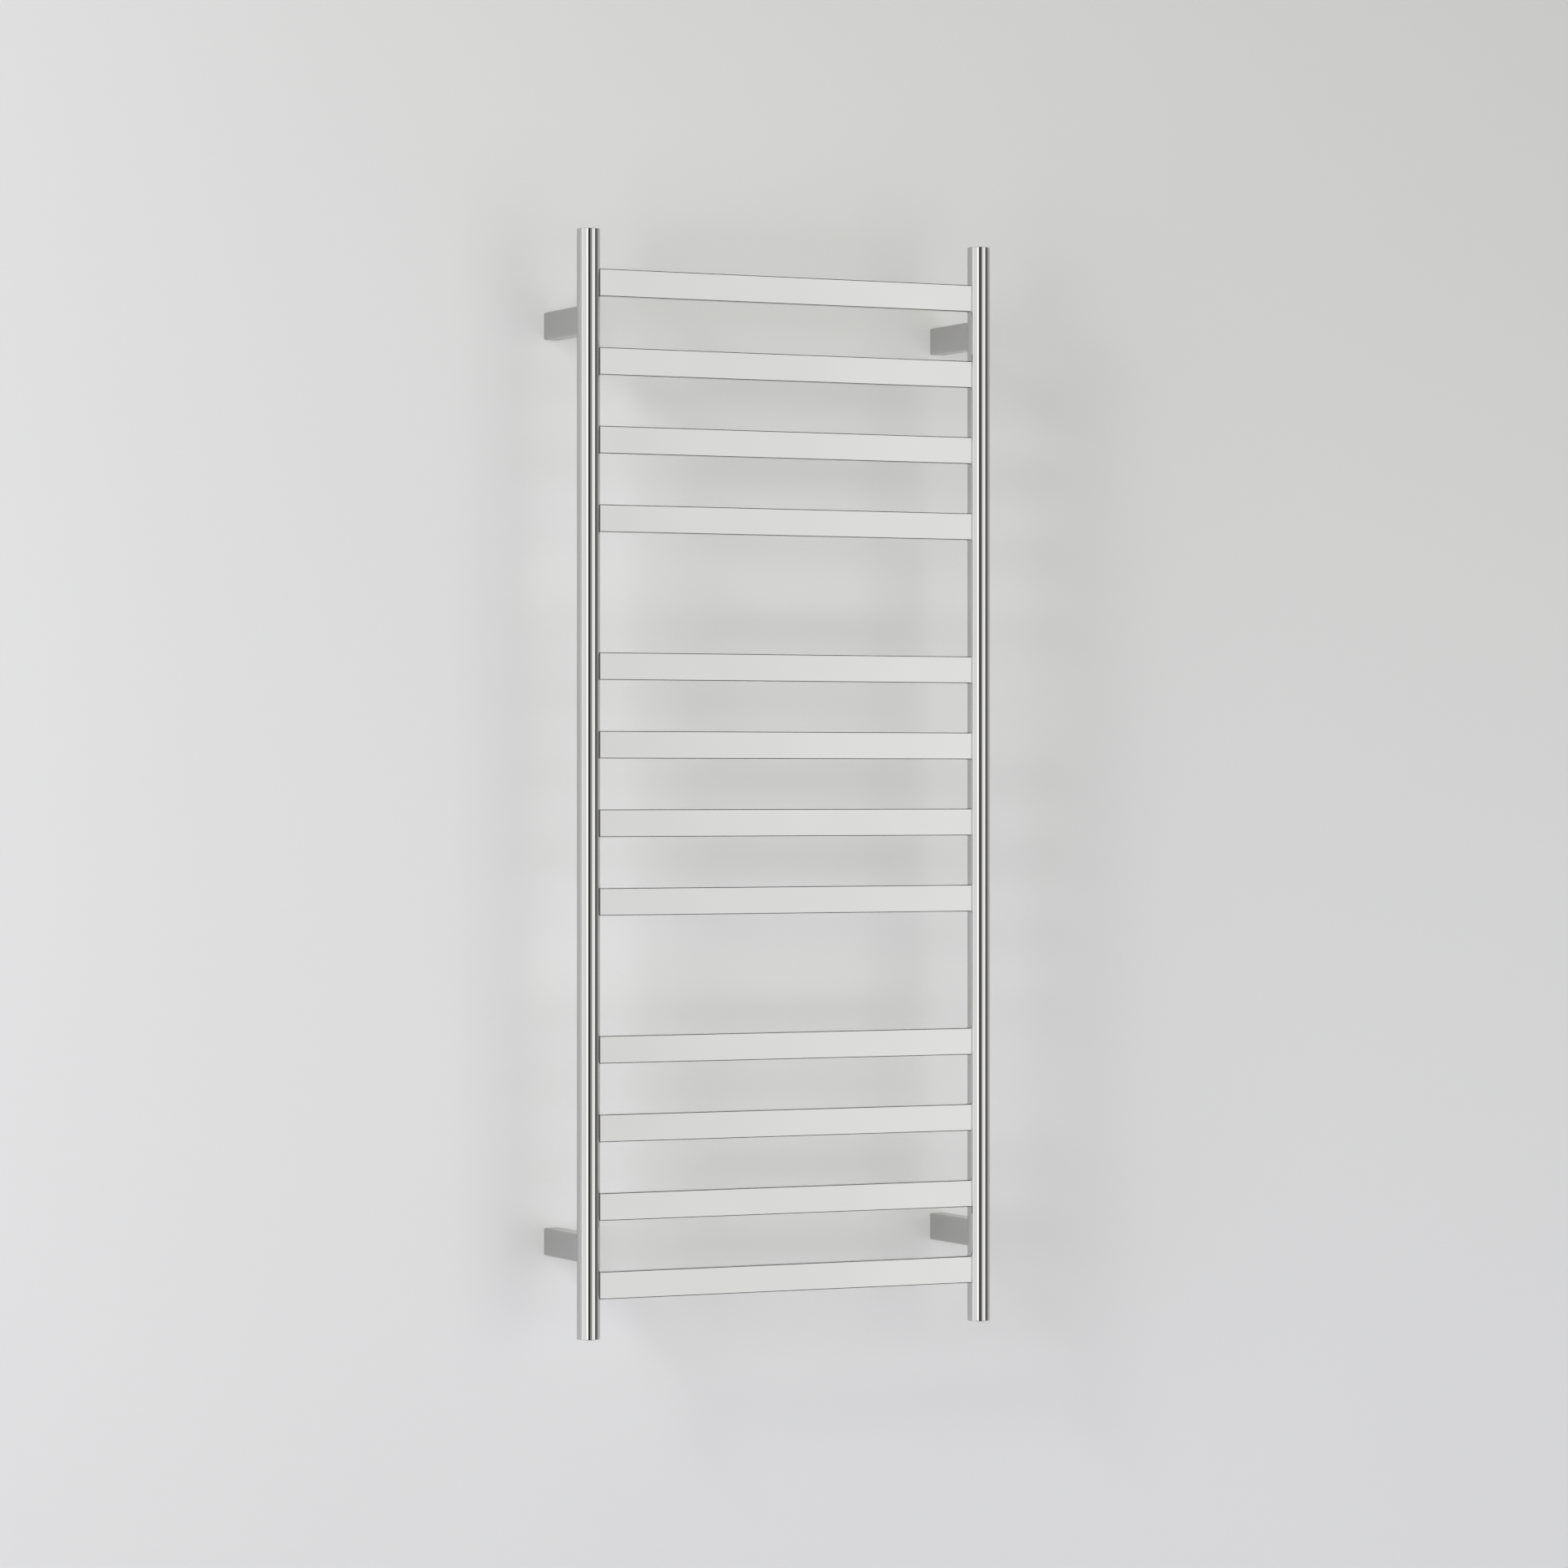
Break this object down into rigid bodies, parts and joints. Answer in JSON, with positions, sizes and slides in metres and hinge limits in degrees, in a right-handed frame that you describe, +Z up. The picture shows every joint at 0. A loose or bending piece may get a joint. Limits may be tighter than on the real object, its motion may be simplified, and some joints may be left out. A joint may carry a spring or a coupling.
{
  "type": "towel warmer rack",
  "caption": "Wall-mounted electric towel warmer: round polished uprights joined by grouped flat rails, held off the wall on rectangular legs, with a heating cable inside.",
  "frame": {"origin": "on the wall's surface, in the middle of the four wall screw holes", "axes": "+X to the right, +Y into the wall, +Z up along the uprights"},
  "size_m": [0.5, 0.1125, 1.2],
  "materials": {
    "polished_steel": "mirror polished stainless steel",
    "machined_steel": "milled, bare",
    "cast_alloy": "die-cast, tumbled",
    "zinc_steel": "zinc plated",
    "silicone_cable": "matt silicone sheath",
    "seal_rubber": "moulded",
    "shrink_sleeve": "satin shrink tube",
    "lead_sheath": "matt",
    "bush_nylon": "moulded nylon",
    "cutout_can": "drawn can, satin",
    "terminal_plastic": "moulded, ivory",
    "brass": "nickel-free, bright",
    "core_insulation": "extruded",
    "tinned_copper": "tin plated",
    "earth_insulation": "extruded"
  },
  "bodies": {
    "root": {"upright_left": "polished_steel", "upright_right": "polished_steel", "end_cap_upper_left": "polished_steel", "end_cap_upper_right": "polished_steel", "end_cap_lower_left": "polished_steel", "end_cap_lower_right": "polished_steel", "rail_01": "polished_steel", "rail_02": "polished_steel", "rail_03": "polished_steel", "rail_04": "polished_steel", "rail_05": "polished_steel", "rail_06": "polished_steel", "rail_07": "polished_steel", "rail_08": "polished_steel", "rail_09": "polished_steel", "rail_10": "polished_steel", "rail_11": "polished_steel", "rail_12": "polished_steel", "leg_sleeve_upper_left": "polished_steel", "leg_front_block_upper_left": "machined_steel", "wall_block_upper_left": "cast_alloy", "leg_sleeve_upper_right": "polished_steel", "leg_front_block_upper_right": "machined_steel", "wall_block_upper_right": "cast_alloy", "leg_sleeve_lower_left": "polished_steel", "leg_front_block_lower_left": "machined_steel", "wall_block_lower_left": "cast_alloy", "leg_sleeve_lower_right": "polished_steel", "leg_front_block_lower_right": "machined_steel", "wall_block_lower_right": "cast_alloy", "threaded_inserts": "machined_steel", "leg_bolts": "zinc_steel", "grub_screws": "zinc_steel", "heating_cable": "silicone_cable", "cable_end_seal": "seal_rubber", "splice_sleeve": "shrink_sleeve", "cold_lead": "lead_sheath", "cable_bush": "bush_nylon", "thermal_cutout": "cutout_can", "terminal_block": "terminal_plastic", "terminal_screws": "brass", "element_cores": "core_insulation", "earth_screw": "brass", "earth_lug": "tinned_copper", "earth_wire": "earth_insulation"}
  },
  "joints": []
}
